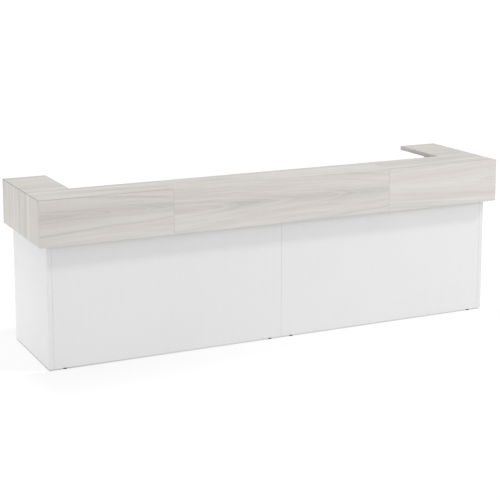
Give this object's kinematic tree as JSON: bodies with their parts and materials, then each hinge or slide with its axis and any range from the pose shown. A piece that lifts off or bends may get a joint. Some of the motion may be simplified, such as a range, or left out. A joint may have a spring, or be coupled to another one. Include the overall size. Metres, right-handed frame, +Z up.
{
  "type": "reception counter",
  "caption": "U-shaped reception and shop counter: white panelled base on levelling feet under a deep wood-grain band folded from the counter top over front and ends, with an inner desk.",
  "frame": {"origin": "on the floor, at the middle of the footprint", "axes": "+X along the counter to the customer's right, +Y from the customer side to the staff side, +Z up"},
  "size_m": [3.36, 0.808, 1.1],
  "materials": {
    "wood_decor": "whitewashed grey-beige wood-grain laminate, satin",
    "white_board": "white melamine-faced board, fine pearl texture, satin",
    "coated_steel": "light grey powder coat",
    "zinc_steel": "bright zinc plate",
    "brass_insert": "turned",
    "black_glide": "matte black moulded plastic",
    "black_steel": "black oxide",
    "beech_dowel": "fluted beech, unfinished",
    "white_plastic": "matte white moulded plastic",
    "port_plastic": "fine-textured grey moulded plastic"
  },
  "bodies": {
    "counter": {"angle_brackets": "coated_steel", "bracket_screws": "zinc_steel", "cable_port_sleeve_left": "port_plastic", "cable_port_sleeve_right": "port_plastic", "cam_bolts": "zinc_steel", "cam_cover_caps": "white_plastic", "cam_housings": "zinc_steel", "centre_gable": "white_board", "counter_top_centre": "wood_decor", "counter_top_left": "wood_decor", "counter_top_right": "wood_decor", "dowels": "beech_dowel", "end_cap_left": "wood_decor", "end_cap_right": "wood_decor", "end_fascia_left": "wood_decor", "end_fascia_right": "wood_decor", "end_panel_left": "white_board", "end_panel_right": "white_board", "end_spacer_left": "wood_decor", "end_spacer_right": "wood_decor", "fascia_screws": "zinc_steel", "fascia_spacer_centre": "wood_decor", "fascia_spacer_left": "wood_decor", "fascia_spacer_right": "wood_decor", "foot_inserts": "brass_insert", "front_fascia_centre": "wood_decor", "front_fascia_left": "wood_decor", "front_fascia_right": "wood_decor", "front_panel_left": "white_board", "front_panel_right": "white_board", "riser_centre": "white_board", "riser_left": "white_board", "riser_right": "white_board", "worktop_left": "wood_decor", "worktop_right": "wood_decor"},
    "foot_end_left_front_pad": {"foot_end_left_front_pad": "black_glide"},
    "foot_end_left_front_stem": {"foot_end_left_front_stem": "black_steel"},
    "foot_end_left_rear_pad": {"foot_end_left_rear_pad": "black_glide"},
    "foot_end_left_rear_stem": {"foot_end_left_rear_stem": "black_steel"},
    "foot_end_right_front_pad": {"foot_end_right_front_pad": "black_glide"},
    "foot_end_right_front_stem": {"foot_end_right_front_stem": "black_steel"},
    "foot_end_right_rear_pad": {"foot_end_right_rear_pad": "black_glide"},
    "foot_end_right_rear_stem": {"foot_end_right_rear_stem": "black_steel"},
    "foot_front_1_pad": {"foot_front_1_pad": "black_glide"},
    "foot_front_1_stem": {"foot_front_1_stem": "black_steel"},
    "foot_front_2_pad": {"foot_front_2_pad": "black_glide"},
    "foot_front_2_stem": {"foot_front_2_stem": "black_steel"},
    "foot_front_3_pad": {"foot_front_3_pad": "black_glide"},
    "foot_front_3_stem": {"foot_front_3_stem": "black_steel"},
    "foot_front_4_pad": {"foot_front_4_pad": "black_glide"},
    "foot_front_4_stem": {"foot_front_4_stem": "black_steel"},
    "foot_gable_front_pad": {"foot_gable_front_pad": "black_glide"},
    "foot_gable_front_stem": {"foot_gable_front_stem": "black_steel"},
    "foot_gable_rear_pad": {"foot_gable_rear_pad": "black_glide"},
    "foot_gable_rear_stem": {"foot_gable_rear_stem": "black_steel"},
    "cable_port_cap_left": {"cable_port_cap_left": "port_plastic"},
    "cable_port_cap_right": {"cable_port_cap_right": "port_plastic"}
  },
  "joints": [
    {"name": "foot_end_left_front_travel", "type": "slide", "parent": "counter", "child": "foot_end_left_front_pad", "axis": [0, 0, -1], "range_m": [0, 0.012]},
    {"name": "foot_end_left_front_turn", "type": "hinge", "parent": "foot_end_left_front_pad", "child": "foot_end_left_front_stem", "pos_m": [-1.602, -0.264, 0], "axis": [0, 0, -1], "range_deg": [0, 3460]},
    {"name": "foot_end_left_rear_travel", "type": "slide", "parent": "counter", "child": "foot_end_left_rear_pad", "axis": [0, 0, -1], "range_m": [0, 0.012]},
    {"name": "foot_end_left_rear_turn", "type": "hinge", "parent": "foot_end_left_rear_pad", "child": "foot_end_left_rear_stem", "pos_m": [-1.602, 0.316, 0], "axis": [0, 0, -1], "range_deg": [0, 3460]},
    {"name": "foot_end_right_front_travel", "type": "slide", "parent": "counter", "child": "foot_end_right_front_pad", "axis": [0, 0, -1], "range_m": [0, 0.012]},
    {"name": "foot_end_right_front_turn", "type": "hinge", "parent": "foot_end_right_front_pad", "child": "foot_end_right_front_stem", "pos_m": [1.602, -0.264, 0], "axis": [0, 0, -1], "range_deg": [0, 3460]},
    {"name": "foot_end_right_rear_travel", "type": "slide", "parent": "counter", "child": "foot_end_right_rear_pad", "axis": [0, 0, -1], "range_m": [0, 0.012]},
    {"name": "foot_end_right_rear_turn", "type": "hinge", "parent": "foot_end_right_rear_pad", "child": "foot_end_right_rear_stem", "pos_m": [1.602, 0.316, 0], "axis": [0, 0, -1], "range_deg": [0, 3460]},
    {"name": "foot_front_1_travel", "type": "slide", "parent": "counter", "child": "foot_front_1_pad", "axis": [0, 0, -1], "range_m": [0, 0.012]},
    {"name": "foot_front_1_turn", "type": "hinge", "parent": "foot_front_1_pad", "child": "foot_front_1_stem", "pos_m": [-1.515, -0.3315, 0], "axis": [0, 0, -1], "range_deg": [0, 3460]},
    {"name": "foot_front_2_travel", "type": "slide", "parent": "counter", "child": "foot_front_2_pad", "axis": [0, 0, -1], "range_m": [0, 0.012]},
    {"name": "foot_front_2_turn", "type": "hinge", "parent": "foot_front_2_pad", "child": "foot_front_2_stem", "pos_m": [-0.08, -0.3315, 0], "axis": [0, 0, -1], "range_deg": [0, 3460]},
    {"name": "foot_front_3_travel", "type": "slide", "parent": "counter", "child": "foot_front_3_pad", "axis": [0, 0, -1], "range_m": [0, 0.012]},
    {"name": "foot_front_3_turn", "type": "hinge", "parent": "foot_front_3_pad", "child": "foot_front_3_stem", "pos_m": [0.08, -0.3315, 0], "axis": [0, 0, -1], "range_deg": [0, 3460]},
    {"name": "foot_front_4_travel", "type": "slide", "parent": "counter", "child": "foot_front_4_pad", "axis": [0, 0, -1], "range_m": [0, 0.012]},
    {"name": "foot_front_4_turn", "type": "hinge", "parent": "foot_front_4_pad", "child": "foot_front_4_stem", "pos_m": [1.515, -0.3315, 0], "axis": [0, 0, -1], "range_deg": [0, 3460]},
    {"name": "foot_gable_front_travel", "type": "slide", "parent": "counter", "child": "foot_gable_front_pad", "axis": [0, 0, -1], "range_m": [0, 0.012]},
    {"name": "foot_gable_front_turn", "type": "hinge", "parent": "foot_gable_front_pad", "child": "foot_gable_front_stem", "pos_m": [0, -0.239, 0], "axis": [0, 0, -1], "range_deg": [0, 3460]},
    {"name": "foot_gable_rear_travel", "type": "slide", "parent": "counter", "child": "foot_gable_rear_pad", "axis": [0, 0, -1], "range_m": [0, 0.012]},
    {"name": "foot_gable_rear_turn", "type": "hinge", "parent": "foot_gable_rear_pad", "child": "foot_gable_rear_stem", "pos_m": [0, 0.221, 0], "axis": [0, 0, -1], "range_deg": [0, 3460]},
    {"name": "cable_port_cap_left_turn", "type": "hinge", "parent": "counter", "child": "cable_port_cap_left", "pos_m": [-1.19, -0.214, 0.742], "axis": [0, 0, 1], "continuous": true},
    {"name": "cable_port_cap_right_turn", "type": "hinge", "parent": "counter", "child": "cable_port_cap_right", "pos_m": [1.19, -0.214, 0.742], "axis": [0, 0, 1], "continuous": true}
  ],
  "couplings": [
    {"joint": "foot_end_left_front_turn", "follows": "foot_end_left_front_travel", "rad_per_m": 5026.5},
    {"joint": "foot_end_left_rear_turn", "follows": "foot_end_left_rear_travel", "rad_per_m": 5026.5},
    {"joint": "foot_end_right_front_turn", "follows": "foot_end_right_front_travel", "rad_per_m": 5026.5},
    {"joint": "foot_end_right_rear_turn", "follows": "foot_end_right_rear_travel", "rad_per_m": 5026.5},
    {"joint": "foot_front_1_turn", "follows": "foot_front_1_travel", "rad_per_m": 5026.5},
    {"joint": "foot_front_2_turn", "follows": "foot_front_2_travel", "rad_per_m": 5026.5},
    {"joint": "foot_front_3_turn", "follows": "foot_front_3_travel", "rad_per_m": 5026.5},
    {"joint": "foot_front_4_turn", "follows": "foot_front_4_travel", "rad_per_m": 5026.5},
    {"joint": "foot_gable_front_turn", "follows": "foot_gable_front_travel", "rad_per_m": 5026.5},
    {"joint": "foot_gable_rear_turn", "follows": "foot_gable_rear_travel", "rad_per_m": 5026.5}
  ]
}
